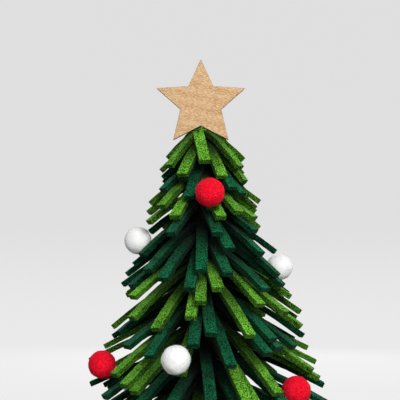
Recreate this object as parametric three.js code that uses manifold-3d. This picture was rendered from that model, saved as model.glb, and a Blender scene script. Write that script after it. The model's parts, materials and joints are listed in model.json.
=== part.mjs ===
// Fabric christmas tree: a table-top cone of drooping felt strips in two greens, threaded on a wooden
// stem, dressed with red and white felt balls and topped with a flat wooden star.
// Lengths are millimetres and angles are degrees. +Z is up, the front faces -Y, and the origin is the
// centre of the base's underside. A turn is counted from the front towards +X.
import * as THREE from 'three';
import Module from 'manifold-3d';
import { mergeVertices } from 'three/addons/utils/BufferGeometryUtils.js';

const wasm = await Module();
wasm.setup();

// Gap between pieces that are glued or seated on each other
const clearance = 0.3;
// How far a cutting tool runs past the face it cuts
const overrun = 1;

// Felt layers
const feltThickness = 4.2;
const stripWidth = 9;
const layerCount = 36;
const layerPitch = 8.2;
const topReach = 34;
const bottomReach = 152;
const hubRadius = 5;
const stripStartShare = 0.75;
const stripRootWidth = 2.4;
const stripRootLength = 14;
const stripSagAngle = 8;
// A strip that is in the way of another is lifted by this many degrees at a time
const liftAngle = 1;
// A strip's solid is a row of four-cornered sections
const sectionCorners = 4;

// Stem and base
const baseDiameter = 120;
const baseThickness = 15;
const baseChamfer = 2;
const trunkDiameter = 24;
const trunkLength = 87.3;
const rodDiameter = 5;
const rodSeatDepth = 40;
const screwDiameter = 4;
const screwHeadDiameter = 8.5;
const screwHeadHeight = 2.6;
const screwHeadRecess = 0.5;
const screwLength = 40;

// Star
const starHeight = 67.9;
const starThickness = 4.5;
const starShift = -1;
const pinDiameter = 2;
const pinDepthInRod = 14;
const pinDepthInStar = 11;

// Corners of the star's right half from its top point down to its notch, as shares of its height: out from
// its middle line, and up from its feet
const starCornerShares = [[0, 1], [0.154, 0.665], [0.544, 0.639], [0.252, 0.381], [0.339, 0], [0, 0.175]];

// Balls
const ballDiameter = 23;
const ballDetail = 2;

// Facets of round pieces
const roundSides = 36;
const slimSides = 16;
const hubSides = 8;

// Tiers of one green from the top down, as a colour and a number of layers
const tiers = [
  ['bright', 2], ['dark', 2], ['bright', 3], ['dark', 5], ['bright', 3], ['dark', 3],
  ['bright', 3], ['dark', 4], ['bright', 4], ['dark', 3], ['bright', 4],
];

// Strips that show from the front, layer by layer from the top. Each is its turn in degrees, its share
// of the layer's reach, and its droop below level in degrees.
const frontStripShares = [
  [[-112, 0.93, 41], [-48, 1.08, 47], [4, 1.1, 43], [52, 1.18, 44], [96, 1.06, 39]],
  [[-82, 0.95, 44], [-22, 1.11, 45], [24, 1.12, 46], [64, 1.08, 46]],
  [[34, 1.08, 45]],
  [[-56, 0.91, 41], [-12, 1.05, 40]],
  [[-98, 0.94, 36], [-42, 1.03, 37], [9, 1.07, 37], [82, 1.03, 32]],
  [[-100, 0.92, 34], [-24, 1.05, 35], [36, 1.01, 35], [100, 0.9, 34]],
  [[-64, 0.91, 33], [17, 0.99, 28], [57, 0.95, 29], [90, 0.9, 37]],
  [[-98, 0.78, 35], [-26, 1.01, 30], [12, 1.01, 30], [54, 0.93, 30]],
  [[-62, 0.93, 37], [20, 1.02, 31], [57, 0.94, 36], [96, 1.03, 32]],
  [[-82, 0.9, 38], [-42, 1, 37], [0, 1.06, 35], [62, 1.08, 36]],
  [[-96, 0.95, 35], [-26, 1.04, 32], [16, 1.02, 30], [65, 1.06, 35]],
  [[-96, 0.95, 32], [-62, 0.92, 36], [-8, 1.04, 33], [43, 1.03, 31]],
  [[-84, 0.84, 40], [-50, 0.97, 30], [9, 0.98, 25], [38, 0.99, 33], [80, 1, 30]],
  [[-48, 0.96, 34], [-1, 0.98, 25], [56, 1.03, 30], [95, 1.07, 30]],
  [[-94, 0.93, 35], [-33, 0.83, 37], [-7, 0.98, 26], [26, 1.05, 32], [75, 1.03, 31]],
  [[-76, 0.83, 34], [4, 0.99, 27], [40, 1, 30], [98, 1.02, 31]],
  [[-31, 0.9, 37], [-4, 0.99, 26], [33, 1.03, 31], [62, 0.95, 30]],
  [[13, 1.01, 28], [46, 0.92, 25]],
  [[-97, 0.87, 23], [-52, 0.92, 31], [-10, 0.99, 26], [36, 1.03, 35], [68, 1, 28], [100, 0.95, 22]],
  [[-98, 0.97, 22], [-42, 0.92, 30], [19, 1.03, 30], [88, 0.96, 22]],
  [[25, 1.03, 30], [76, 0.96, 23]],
  [[-60, 0.85, 27], [4, 0.97, 23], [40, 0.97, 25], [88, 0.96, 22]],
  [[-92, 0.86, 19], [-32, 0.85, 23], [70, 0.95, 22]],
  [[-16, 0.93, 20]],
];

// The strips that fill the rest of each ring, with their reach and droop taken in turn from these
const ringSpacingAngle = 60;
const lowRingSpacingAngle = 46;
const widestGapAngle = 85;
// Behind this turn to either side, every second ring that shows gets a strip more in each gap
const backAngle = 100;
const layerTwistAngle = 16;
const topDroopAngle = 45;
const lowDroopAngle = 27;
const droopLayerShare = 0.4;
const fillReachShares = [1, 0.95, 1.03, 0.92, 0.98];
const leftReachShare = 0.88;
const fillDroopAngles = [0, 2, -1, 1, -2, 3, -3];

// Balls: colour, turn in degrees, and height as a share of the top layer's height
const ballShares = [
  ['red', 6, 0.86], ['white', -92, 0.768], ['white', 118, 0.711], ['white', -11, 0.548],
  ['red', -84, 0.513], ['red', 59, 0.473], ['red', 172, 0.8], ['white', 150, 0.6],
  ['red', -168, 0.66], ['white', -142, 0.45], ['red', 174, 0.44], ['red', -32, 0.36],
  ['white', 40, 0.3], ['white', -118, 0.38], ['red', 162, 0.27], ['white', 100, 0.3],
];

const radians = THREE.MathUtils.degToRad;
const sum = (values) => values.reduce((total, value) => total + value, 0);

// Heights that follow from the stack
const hubHeight = layerPitch - clearance;
const trunkBottom = baseThickness + clearance;
const trunkTop = trunkBottom + trunkLength;
const lowestLayerTop = trunkTop + clearance + hubHeight;
const topLayerTop = lowestLayerTop + (layerCount - 1) * layerPitch;
const stripStart = hubRadius * stripStartShare;
const rodBoreRadius = rodDiameter / 2 + clearance;
const pinBoreRadius = pinDiameter / 2 + clearance;

const finishes = {
  bright: new THREE.MeshStandardMaterial({ color: '#57982f', roughness: 0.95, metalness: 0 }),
  dark: new THREE.MeshStandardMaterial({ color: '#14583c', roughness: 0.95, metalness: 0 }),
  red: new THREE.MeshStandardMaterial({ color: '#e2122b', roughness: 0.9, metalness: 0 }),
  white: new THREE.MeshStandardMaterial({ color: '#f4f4f2', roughness: 0.9, metalness: 0 }),
  wood: new THREE.MeshStandardMaterial({ color: '#d9b183', roughness: 0.7, metalness: 0 }),
  stem: new THREE.MeshStandardMaterial({ color: '#b98a5c', roughness: 0.75, metalness: 0 }),
  steel: new THREE.MeshStandardMaterial({ color: '#b9bcc0', roughness: 0.35, metalness: 1 }),
};

// Solid for joining and cutting, from a closed geometry
function solidOf(geometry) {
  const bare = geometry.clone();
  bare.deleteAttribute('normal');
  bare.deleteAttribute('uv');
  const merged = mergeVertices(bare);
  return new wasm.Manifold(new wasm.Mesh({
    numProp: 3,
    vertProperties: new Float32Array(merged.attributes.position.array),
    triVerts: new Uint32Array(merged.index.array),
  }));
}

function geometryOf(solid) {
  const mesh = solid.getMesh();
  const geometry = new THREE.BufferGeometry();
  geometry.setAttribute('position', new THREE.BufferAttribute(mesh.vertProperties, 3));
  geometry.setIndex(new THREE.BufferAttribute(mesh.triVerts, 1));
  geometry.computeVertexNormals();
  return geometry;
}

// Upright cylinder from one height to another
function uprightCylinder(radius, low, high, sides) {
  const geometry = new THREE.CylinderGeometry(radius, radius, high - low, sides);
  geometry.rotateX(Math.PI / 2);
  geometry.translate(0, 0, (low + high) / 2);
  return geometry;
}

// Turned piece from a profile of [radius, height] points
function turnedPiece(profile, sides) {
  const points = profile.map(([radius, height]) => new THREE.Vector2(radius, height));
  const geometry = new THREE.LatheGeometry(points, sides);
  geometry.rotateX(Math.PI / 2);
  return geometry;
}

function addMesh(group, name, geometry, finish, height = 0) {
  const mesh = new THREE.Mesh(geometry, finishes[finish]);
  mesh.name = name;
  mesh.position.z = height;
  group.add(mesh);
}

// Top edge of a strip in its upright plane, as [distance from the axis, height] points: a root piece and
// two longer pieces of equal length, each steeper than the one before it
function stripTopEdge(hubTop, reach, droop) {
  const slopes = [droop - stripSagAngle, droop - stripSagAngle / 2, droop + stripSagAngle / 2].map(radians);
  const [root, ...rest] = slopes;
  const restLength = (reach - stripStart - stripRootLength * Math.cos(root)) / sum(rest.map(Math.cos));
  const edge = [[stripStart, hubTop]];
  slopes.forEach((slope, piece) => {
    const length = piece === 0 ? stripRootLength : restLength;
    const [distance, height] = edge.at(-1);
    edge.push([distance + length * Math.cos(slope), height - length * Math.sin(slope)]);
  });
  return edge;
}

// Lower edge: the top edge moved square to itself by the felt's thickness, mitred where pieces meet and
// cut plumb where the strip starts
function stripLowerEdge(topEdge) {
  const slopes = topEdge.slice(1).map(([distance, height], piece) =>
    Math.atan2(topEdge[piece][1] - height, distance - topEdge[piece][0]));
  return topEdge.map(([distance, height], point) => {
    if (point === 0) return [distance, height - feltThickness / Math.cos(slopes[0])];
    const before = slopes[point - 1];
    const after = slopes[Math.min(point, slopes.length - 1)];
    const middle = (before + after) / 2;
    const depth = feltThickness / Math.cos((after - before) / 2);
    return [distance - depth * Math.sin(middle), height - depth * Math.cos(middle)];
  });
}

function makeStrip(turn, hubTop, reach, droop) {
  const top = stripTopEdge(hubTop, reach, droop);
  const lower = stripLowerEdge(top);
  const along = [Math.sin(radians(turn)), -Math.cos(radians(turn))];
  return { turn, hubTop, reach, droop, along, top, lower, underside: [...lower, top.at(-1)] };
}

// Height of an edge at a distance from the axis
function heightAt(edge, distance) {
  const last = edge.length - 2;
  let piece = 0;
  while (piece < last && edge[piece + 1][0] < distance) piece += 1;
  const [[near, nearHeight], [far, farHeight]] = [edge[piece], edge[piece + 1]];
  const share = THREE.MathUtils.clamp((distance - near) / (far - near), 0, 1);
  return nearHeight + (farHeight - nearHeight) * share;
}

// Points all over a strip's plan, a third of its width apart
function planPoints(strip) {
  const step = stripWidth / 3;
  const rows = Math.ceil((strip.reach - stripStart) / step);
  const points = [];
  for (let row = 0; row <= rows; row += 1) {
    const distance = stripStart + (strip.reach - stripStart) * (row / rows);
    for (const side of [-stripWidth / 2, 0, stripWidth / 2]) {
      points.push([
        strip.along[0] * distance - strip.along[1] * side,
        strip.along[1] * distance + strip.along[0] * side,
      ]);
    }
  }
  return points;
}

// True where the upper strip passes clear over the lower one
function passesOver(upper, lower) {
  const inPlan = ([x, y], strip) => {
    const distance = x * strip.along[0] + y * strip.along[1];
    const side = Math.abs(x * strip.along[1] - y * strip.along[0]);
    const inside = distance > 0 && distance < strip.reach + clearance;
    return inside && side < stripWidth / 2 + clearance ? distance : null;
  };
  return [...planPoints(upper), ...planPoints(lower)].every((point) => {
    const [above, below] = [inPlan(point, upper), inPlan(point, lower)];
    if (above === null || below === null) return true;
    return heightAt(upper.underside, above) - heightAt(lower.top, below) > clearance;
  });
}

// A ring's strips: those that show from the front and even fill in every wide gap between them. Every second
// ring that shows is doubled behind.
function ringStrips(layer) {
  const reach = topReach + (bottomReach - topReach) * (layer / (layerCount - 1));
  const eased = Math.min(1, layer / (layerCount * droopLayerShare));
  const usualDroop = topDroopAngle + (lowDroopAngle - topDroopAngle) * eased;
  const front = frontStripShares[layer];
  const spacing = front ? ringSpacingAngle : lowRingSpacingAngle;
  const shown = front ?? [[layer * layerTwistAngle, 1, usualDroop]];
  const fill = (turn, step) => {
    const pick = layer + step;
    const sideShare = front && Math.sin(radians(turn)) < 0 ? leftReachShare : 1;
    const fillReach = reach * sideShare * fillReachShares[pick % fillReachShares.length];
    return [turn, fillReach, usualDroop + fillDroopAngles[pick % fillDroopAngles.length]];
  };
  return shown.flatMap(([turn, share, droop], place) => {
    const own = [turn, reach * share, droop];
    const next = place + 1 < shown.length ? shown[place + 1][0] : shown[0][0] + 360;
    const gap = next - turn;
    if (gap < widestGapAngle) return [own];
    const steps = Math.round(gap / spacing);
    const fills = Array.from({ length: steps }, (_, step) => turn + (gap * step) / steps);
    const behind = fills.map((start) => start + gap / steps / 2).filter((middle) =>
      front && layer % 2 === 0 && Math.cos(radians(middle)) < Math.cos(radians(backAngle)));
    return [own, ...[...fills.slice(1), ...behind].map((fillTurn, step) => fill(fillTurn, step + 1))];
  });
}

// All strips, laid from the lowest layer up. A strip that would cut into one below is lifted, step by
// step, until it lies over it.
function layStrips() {
  const layers = [];
  for (let layer = layerCount - 1; layer >= 0; layer -= 1) {
    const hubTop = topLayerTop - layer * layerPitch;
    const below = layers.flat();
    layers.unshift(ringStrips(layer).map(([turn, reach, droop]) => {
      let strip = makeStrip(turn, hubTop, reach, droop);
      const near = below.filter((other) => heightAt(strip.underside, strip.reach) < other.hubTop);
      while (strip.droop > 0 && !near.every((other) => passesOver(strip, other))) {
        strip = makeStrip(turn, hubTop, reach, strip.droop - liftAngle);
      }
      return strip;
    }));
  }
  return layers;
}

// Solid of one strip in the layer's own heights: a four-cornered section carried along its two edges,
// narrow at the root where the strips crowd together
function stripSolid(strip) {
  const corners = strip.top.flatMap(([topDistance, topHeight], point) => {
    const [lowDistance, lowHeight] = strip.lower[point];
    const half = (point === 0 ? stripRootWidth : stripWidth) / 2;
    const place = (distance, height, side) => [
      strip.along[0] * distance - strip.along[1] * side,
      strip.along[1] * distance + strip.along[0] * side,
      height - strip.hubTop,
    ];
    return [
      place(topDistance, topHeight, half),
      place(topDistance, topHeight, -half),
      place(lowDistance, lowHeight, -half),
      place(lowDistance, lowHeight, half),
    ];
  });
  const last = corners.length - sectionCorners;
  const faces = [0, 2, 1, 0, 3, 2, last, last + 1, last + 2, last, last + 2, last + 3];
  for (let start = 0; start < last; start += sectionCorners) {
    for (let corner = 0; corner < sectionCorners; corner += 1) {
      const [a, b] = [start + corner, start + ((corner + 1) % sectionCorners)];
      const [aNext, bNext] = [a + sectionCorners, b + sectionCorners];
      faces.push(a, b, bNext, a, bNext, aNext);
    }
  }
  return new wasm.Manifold(new wasm.Mesh({
    numProp: 3,
    vertProperties: new Float32Array(corners.flat()),
    triVerts: new Uint32Array(faces),
  }));
}

// One felt layer: strips joined at a round felt hub, which spaces the layer from the next one down and
// holds the rod's bore
function layerGeometry(strips) {
  const hub = solidOf(uprightCylinder(hubRadius, -hubHeight, 0, hubSides));
  const boreRadius = rodBoreRadius / Math.cos(Math.PI / hubSides);
  const bore = solidOf(uprightCylinder(boreRadius, -hubHeight - overrun, overrun, hubSides));
  const joined = strips.reduce((body, strip) => body.add(stripSolid(strip)), hub);
  return geometryOf(joined.subtract(bore));
}

// Distance from a point to the nearest face of a strip, taken piece by piece as flat slabs
function distanceToStrip([x, y, z], strip) {
  const distance = x * strip.along[0] + y * strip.along[1];
  const side = Math.max(Math.abs(x * strip.along[1] - y * strip.along[0]) - stripWidth / 2, 0);
  const gaps = strip.top.slice(1).map(([far, farHeight], piece) => {
    const [near, nearHeight] = strip.top[piece];
    const length = Math.hypot(far - near, farHeight - nearHeight);
    const [run, fall] = [(far - near) / length, (nearHeight - farHeight) / length];
    const down = (distance - near) * run + (nearHeight - z) * fall;
    const out = (distance - near) * fall - (nearHeight - z) * run;
    const past = Math.max(-down, down - length, 0);
    const off = Math.max(out, -out - feltThickness, 0);
    return Math.hypot(past, off, side);
  });
  return Math.min(...gaps);
}

// A ball is pushed level towards the stem until it touches the first strip
function ballPlace(turn, height, strips) {
  const along = [Math.sin(radians(turn)), -Math.cos(radians(turn))];
  let distance = bottomReach + ballDiameter;
  let gap = Infinity;
  while (gap > clearance / 10 && distance > ballDiameter) {
    const centre = [along[0] * distance, along[1] * distance, height];
    const nearest = Math.min(...strips.map((strip) => distanceToStrip(centre, strip)));
    gap = nearest - ballDiameter / 2 - clearance;
    distance -= Math.max(gap, 0);
  }
  return new THREE.Vector3(along[0] * distance, along[1] * distance, height);
}

// Corners of the star's outline, with heights from its notch: the right half down, then its mirror image up.
// The whole star stands a little to one side of the stem.
function starOutline() {
  const [, notchShare] = starCornerShares.at(-1);
  const right = starCornerShares.map(([out, up]) => [out, up - notchShare]);
  const left = right.slice(1, -1).reverse().map(([out, up]) => [-out, up]);
  return [...right, ...left].map(([out, up]) =>
    new THREE.Vector2(out * starHeight + starShift, up * starHeight));
}

// Height of the notch between the star's feet: its edges clear the top hub's rim, and it stands higher
// if a foot would otherwise cut into a strip
function starSeat(strips) {
  const feet = starOutline().filter((corner) => corner.y < 0);
  const rim = hubRadius + Math.abs(starShift);
  const fall = Math.max(...feet.map((foot) => -foot.y / Math.abs(foot.x - starShift)));
  const steps = Math.ceil(starHeight / starThickness);
  const edgePoints = feet.flatMap((foot) => Array.from({ length: steps }, (_, step) =>
    new THREE.Vector2(starShift, 0).lerp(foot, (step + 1) / steps)));
  const clear = (height) => edgePoints.every((point) => [-1, 0, 1].every((side) => {
    const place = [point.x, (side * starThickness) / 2, height + point.y];
    return strips.every((strip) => distanceToStrip(place, strip) >= clearance);
  }));
  let height = topLayerTop + clearance + rim * fall;
  while (!clear(height)) height += clearance;
  return height;
}

// Five-pointed star, standing up and facing the front
function starGeometry(notchHeight) {
  const geometry = new THREE.ExtrudeGeometry(new THREE.Shape(starOutline()), {
    depth: starThickness,
    bevelEnabled: false,
  });
  geometry.translate(0, 0, -starThickness / 2);
  geometry.rotateX(Math.PI / 2);
  geometry.translate(0, 0, notchHeight);
  const boreTop = notchHeight + pinDepthInStar;
  const bore = uprightCylinder(pinBoreRadius, topLayerTop, boreTop, slimSides);
  return geometryOf(solidOf(geometry).subtract(solidOf(bore)));
}

// Round wooden base with a countersunk hole from below
function baseGeometry() {
  const radius = baseDiameter / 2;
  const holeRadius = screwDiameter / 2 + clearance;
  const headRadius = screwHeadDiameter / 2 + clearance;
  const headTop = screwHeadRecess + screwHeadHeight + clearance;
  return turnedPiece([
    [headRadius, 0],
    [radius - baseChamfer, 0],
    [radius, baseChamfer],
    [radius, baseThickness - baseChamfer],
    [radius - baseChamfer, baseThickness],
    [holeRadius, baseThickness],
    [holeRadius, headTop],
    [headRadius, screwHeadRecess],
    [headRadius, 0],
  ], roundSides);
}

// Turned trunk with the rod's seat in its top and the screw's pilot hole in its foot
function trunkGeometry() {
  const radius = trunkDiameter / 2;
  const pilotRadius = screwDiameter / 2 + clearance;
  const pilotTop = screwHeadRecess + screwLength + clearance;
  return turnedPiece([
    [0, pilotTop],
    [pilotRadius, pilotTop],
    [pilotRadius, trunkBottom],
    [radius, trunkBottom],
    [radius, trunkTop],
    [rodBoreRadius, trunkTop],
    [rodBoreRadius, trunkTop - rodSeatDepth],
    [0, trunkTop - rodSeatDepth],
  ], roundSides);
}

function rodGeometry() {
  const radius = rodDiameter / 2;
  const pinSeat = topLayerTop - pinDepthInRod;
  return turnedPiece([
    [0, trunkTop - rodSeatDepth + clearance],
    [radius, trunkTop - rodSeatDepth + clearance],
    [radius, topLayerTop],
    [pinBoreRadius, topLayerTop],
    [pinBoreRadius, pinSeat],
    [0, pinSeat],
  ], slimSides);
}

function pinGeometry(notchHeight) {
  const low = topLayerTop - pinDepthInRod + clearance;
  const high = notchHeight + pinDepthInStar - clearance;
  return uprightCylinder(pinDiameter / 2, low, high, slimSides);
}

function screwGeometry() {
  const radius = screwDiameter / 2;
  const headTop = screwHeadRecess + screwHeadHeight;
  const tip = screwHeadRecess + screwLength;
  return turnedPiece([
    [0, screwHeadRecess],
    [screwHeadDiameter / 2, screwHeadRecess],
    [radius, headTop],
    [radius, tip - screwDiameter],
    [0, tip],
  ], slimSides);
}

const layers = layStrips();
const allStrips = layers.flat();
const starNotchHeight = starSeat(allStrips);

const tree = new THREE.Group();
addMesh(tree, 'base_disc', baseGeometry(), 'stem');
addMesh(tree, 'trunk', trunkGeometry(), 'stem');
addMesh(tree, 'base_screw', screwGeometry(), 'steel');
addMesh(tree, 'centre_rod', rodGeometry(), 'stem');
addMesh(tree, 'star_pin', pinGeometry(starNotchHeight), 'steel');
addMesh(tree, 'star', starGeometry(starNotchHeight), 'wood');

const layerColours = tiers.flatMap(([colour, count]) => Array(count).fill(colour));
layers.forEach((strips, layer) => {
  const name = `felt_layer_${String(layer + 1).padStart(2, '0')}`;
  addMesh(tree, name, layerGeometry(strips), layerColours[layer], strips[0].hubTop);
});

ballShares.forEach(([colour, turn, heightShare], ball) => {
  const geometry = new THREE.IcosahedronGeometry(ballDiameter / 2, ballDetail);
  const mesh = new THREE.Mesh(geometry, finishes[colour]);
  mesh.name = `ball_${colour}_${String(ball + 1).padStart(2, '0')}`;
  mesh.position.copy(ballPlace(turn, topLayerTop * heightShare, allStrips));
  tree.add(mesh);
});

export default tree;
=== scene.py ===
"""Felt christmas tree: thick felt strips in two greens droop in rings from a wooden stem, with
needle-felted balls among them and a flat wooden star on top. Lengths are metres, +Z is up and the front
faces -Y."""
import json
import math

import bpy
import numpy as np
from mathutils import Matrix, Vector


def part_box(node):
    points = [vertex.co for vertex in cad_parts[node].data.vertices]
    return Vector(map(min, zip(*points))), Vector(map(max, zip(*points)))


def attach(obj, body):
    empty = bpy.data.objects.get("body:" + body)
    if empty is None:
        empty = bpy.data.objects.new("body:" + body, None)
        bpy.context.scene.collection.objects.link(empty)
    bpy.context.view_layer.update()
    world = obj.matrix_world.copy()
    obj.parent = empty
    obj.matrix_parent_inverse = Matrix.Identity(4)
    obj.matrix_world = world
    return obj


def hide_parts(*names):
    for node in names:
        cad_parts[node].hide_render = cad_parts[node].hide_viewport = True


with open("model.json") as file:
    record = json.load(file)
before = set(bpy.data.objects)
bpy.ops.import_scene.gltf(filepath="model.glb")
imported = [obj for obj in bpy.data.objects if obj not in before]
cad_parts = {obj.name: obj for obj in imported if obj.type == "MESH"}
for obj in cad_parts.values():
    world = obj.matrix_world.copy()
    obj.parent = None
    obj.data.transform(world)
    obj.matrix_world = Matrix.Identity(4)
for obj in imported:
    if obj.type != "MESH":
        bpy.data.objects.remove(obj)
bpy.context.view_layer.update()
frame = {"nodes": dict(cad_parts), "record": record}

MM = 0.001

# The photograph's camera
FRAME_PIXELS = 400
FOCAL_PIXELS = 961  # its focal length in the photograph's pixels
SENSOR_WIDTH = 36
CAMERA_PLACE = (-1.7 * MM, -800 * MM, 297.5 * MM)
CAMERA_TILT = math.radians(2.98)  # upwards
NEAREST_SEEN = 10 * MM

# Felt strips, cut from thick sheet
STRIP_WIDTH = 9 * MM
STRIP_THICKNESS = 4.2 * MM
STRIP_EDGE = 0.3 * MM  # radius of the eased edges
STRIP_SUPPORT = 0.25 * MM  # from an eased edge to the point that keeps the flat beside it flat
STRIP_STEP = 2 * MM  # between rows
STRIP_LEAST_STEPS = 12
WIDTH_SPREAD = 0.04
TONE_SPREAD = 0.07
ROLL = math.radians(3.5)  # most that a tip is turned about its line
SWAY = 0.9 * MM  # most that a tip lies beside its line
FELT_WAVE = 0.05 * MM
FELT_WAVE_LENGTH = 7 * MM
RIPPLE_WAVES = 14
RIPPLE_SPREAD = (0.75, 1.4)  # shortest and longest wave as shares of the length that is asked for

# A strip's middle line
STRIP_START = 3.6 * MM  # from the axis
ROOT_RUN = 14 * MM
ROOT_SLOPE = math.radians(-12)  # how much flatter than its tip it is at the root
INNER_SLOPE = math.radians(-8)  # and on its inner arm

# Hub that joins a ring's strips
HUB_RADIUS = 5 * MM
HUB_SIDES = 24
HUB_SLACK = 1.05  # a solid's hub points lie within this many radii

# Reading the solids
POINT_DIGITS = 5  # that a length in metres is rounded to
ARM_ZONE = 19 * MM  # farther out than this, the strips stand clear of each other
SAME_LEVEL = 0.03 * MM  # two heights or distances closer than this are one
SAME_WIDTH = 0.05 * MM  # a width this close to a strip's is a strip's
SAME_TURN = 0.4  # two turns closer than this many degrees are one strip's
SAME_FACE = 0.01 * MM  # a point this close to the foremost is on the star's front face

# The top ring, whose strips fold like a roof under the star's notch or stand up against its back
IN_FRONT = 0.3  # cosine of the turn above which a strip points forwards
BEHIND = -0.5  # and below which it points backwards
NOTCH_GAP = 0.4 * MM  # between the notch and the strips under it
NOTCH_FALL = 0.58  # slope of the fold, a little steeper than the star's lower edges
SIDE_DROP = 1.1 * MM  # how much lower a forward strip starts, the more it points to a side
HUB_DROP = 0.4 * MM  # from the notch down to the hub's peak
BACK_RISE = 2.5 * MM  # how far above the notch a strip behind the star starts
BACK_CLEARANCE = 2.6 * MM  # from the star's middle plane to the strips behind it
FOLD_RUN = 11 * MM  # length over which the fold flattens out
CROWN_BOW = math.radians(7)  # how much steeper than its chord a side strip ends
START_HANDLE = 0.36  # the curve's handles, as shares of its chord
END_HANDLE = 0.35
FRONT_SKEW = -4.6 * MM  # how far to the left the front strip starts
SKEW_POWER = 8  # high, so that the skew fades fast with the turn
SIDE_NARROWING = 0.18  # share of its width that a side strip lacks

# Loose wool fibres
FIBRE_SEED = 7
FIBRE_RADIUS = 0.045 * MM  # about three times a real one's, so that they show
FIBRE_FOOT_DEPTH = 0.12 * MM
FIBRE_RISE = 0.6  # weight of the way off the surface in a fibre's direction
FIBRE_STRAY = 0.6  # and of chance
FIBRE_KNEE = 0.55  # share of its length at which a fibre bends
FIBRE_KNEE_WIDTH = 0.8
FIBRE_SHORTEST = 0.3  # as a share of the longest
BARE_ROOT_PART = 6  # one part in so many of a strip, at its root, has none
STRIP_FIBRES = 0.9 / MM
STRIP_FIBRE_LENGTH = 1.1 * MM
BALL_FIBRES = 1100
BALL_FIBRE_LENGTH = 1.6 * MM

# Felt balls
BALL_RADIUS = 11.3 * MM
SMALLER_BALLS = {"ball_white_04": 0.94}
BALL_ROWS = 72
BALL_COLUMNS = 96
BALL_LUMP = 0.11 * MM
BALL_LUMP_LENGTH = 9 * MM
BALL_NAP = 0.05 * MM
BALL_NAP_LENGTH = 2 * MM
BALL_NAP_WAVES = 24

# Star
STAR_EDGE = 0.3 * MM  # radius of the eased edge
STAR_EDGE_POINTS = 14  # on each side of the outline
STAR_FACE_ROWS = (0.25, 0.5, 0.75, 0.93, 1)  # sizes of the rows across a face
STAR_EDGE_ROWS = ((0.5, 0.13), (0.13, 0.5), (0, 1), (0, 2))  # inset and depth of each row, in radii

# Stem, as in the part's own drawing
GAP = 0.3 * MM
ROD_SEAT = 40 * MM
ROD_HOLE = 2.8 * MM
PIN_SEAT = 14 * MM
PIN_HOLE = 1.3 * MM
BASE_CHAMFER = 2 * MM
TURNED_SIDES = 120
ROUNDING = 0.6 * MM  # reach of a turned corner's easing
ROUNDING_LIMIT = 0.3  # and its most, as a share of the shorter side
ROUNDING_POINTS = 5
ROUNDING_SUPPORT = 1.5  # place of the support points, in reaches

# Countersunk screw, as in the part's own drawing
SCREW_RECESS = 0.5 * MM
SCREW_HEAD = 2.6 * MM
SCREW_LENGTH = 40 * MM
SCREW_HOLE = 2.3 * MM
SCREW_HEAD_HOLE = 4.55 * MM
SCREW_RIM = 0.15 * MM  # height of the head's rim
SCREW_MIDDLE = 0.02  # size of the face's first row, as a share of the head
SCREW_FACE_ROWS = 30
SCREW_SIDES = 60
SHANK_SHARE = 0.47  # of the head's radius

# The screw's thread and point, and its cross recess
PLAIN_SHANK = 5 * MM
THREAD_PITCH = 1.8 * MM
THREAD_HEIGHT = 0.5 * MM
THREAD_SHARPNESS = 5  # a ridge takes up two parts in so many of the pitch
THREAD_ROWS = 10  # a pitch
THREAD_START = 0.2 * MM  # from the plain shank to the thread's first row
THREAD_END = 1 * MM  # from the ridge's end to the tip
POINT_LENGTH = 4 * MM
POINT_END = 0.3 * MM  # from the row before the last to the tip
POINT_SHARE = 0.05  # least width of the taper, as a share of the core's
POINT_RADIUS = 0.1 * MM
CROSS_HALF_WIDTH = 0.55 * MM
CROSS_HALF_LENGTH = 2.4 * MM
CROSS_DEPTH = 1.3 * MM
CROSS_WALL = 0.15 * MM
CROSS_END = 0.5 * MM

# Share of the colour's brightness kept in places: real laser scorch, and painted shade deep in the tree and
# partly on cut sides
FELT_CUT_SHADE = 0.32  # on a strip's cut sides: partly the fibre ends' own darkness, partly painted shade
SCORCHED_SHADE = 0.42  # on the star's sawn edge
ROOT_SHADE = 0.05  # painted shade at a strip's root, deep between the rings where little light would reach
ROOT_SHADE_POWER = 1.7  # more keeps the painted shade for longer towards the tip
CROWN_SHADE = 0.12  # painted shade at a top strip's root
# Painted shade on the hubs, deep on the lower rings and lighter on the top ring's cone
HUB_SHADE = 0.1
CROWN_HUB_SHADE = 0.45

# Pattern sizes of the finishes
HEATHER = 0.7 * MM
HEATHER_CLOUD = 16 * MM
FELT_NAP = 0.8 * MM
FELT_NAP_DEPTH = 0.18 * MM
WOOL_SWIRL = 1.0 * MM
WOOL_DIMPLE_DEPTH = 0.2 * MM
WOOD_FIBRE = 0.32 * MM
WOOD_PORE = 0.36 * MM
WOOD_FIBRE_DEPTH = 0.1 * MM
WOOD_STRETCH = 0.14  # how much slower the pattern changes along the grain than across it
BIRCH_YEAR = 9 * MM
BEECH_YEAR = 4 * MM
WAVE_RING = 0.314  # width of one ring of the Wave node at scale 1
ZINC_GRAIN = 0.6 * MM

# Stage: a flat paper floor that curves up to a wall
FLOOR_RADIUS = 2.4
FLOOR_ROWS = 20
FLOOR_MIDDLE = 0.02
BOWL_CURVE = 1.0
BOWL_CURVE_ROWS = 24
BOWL_HEIGHT = 3.6
BOWL_SIDES = 120
PAPER_SEEN = "#585858"
PAPER_BOUNCE = "#888888"
FLOOR_GLOW = 0.755
EDGE_GLOW = 0.8
GLOW_RISE_START = 1.2  # distance from the axis at which the glow begins to rise
WALL_GLOW = 0.72
GLOW_FADE = 0.45  # height at which the wall's glow is reached
ROOM_LIGHT = 0.06
ROOM_COLOUR = "#f4f5f7"
BEYOND_COLOUR = "#e2e2e2"

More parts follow.
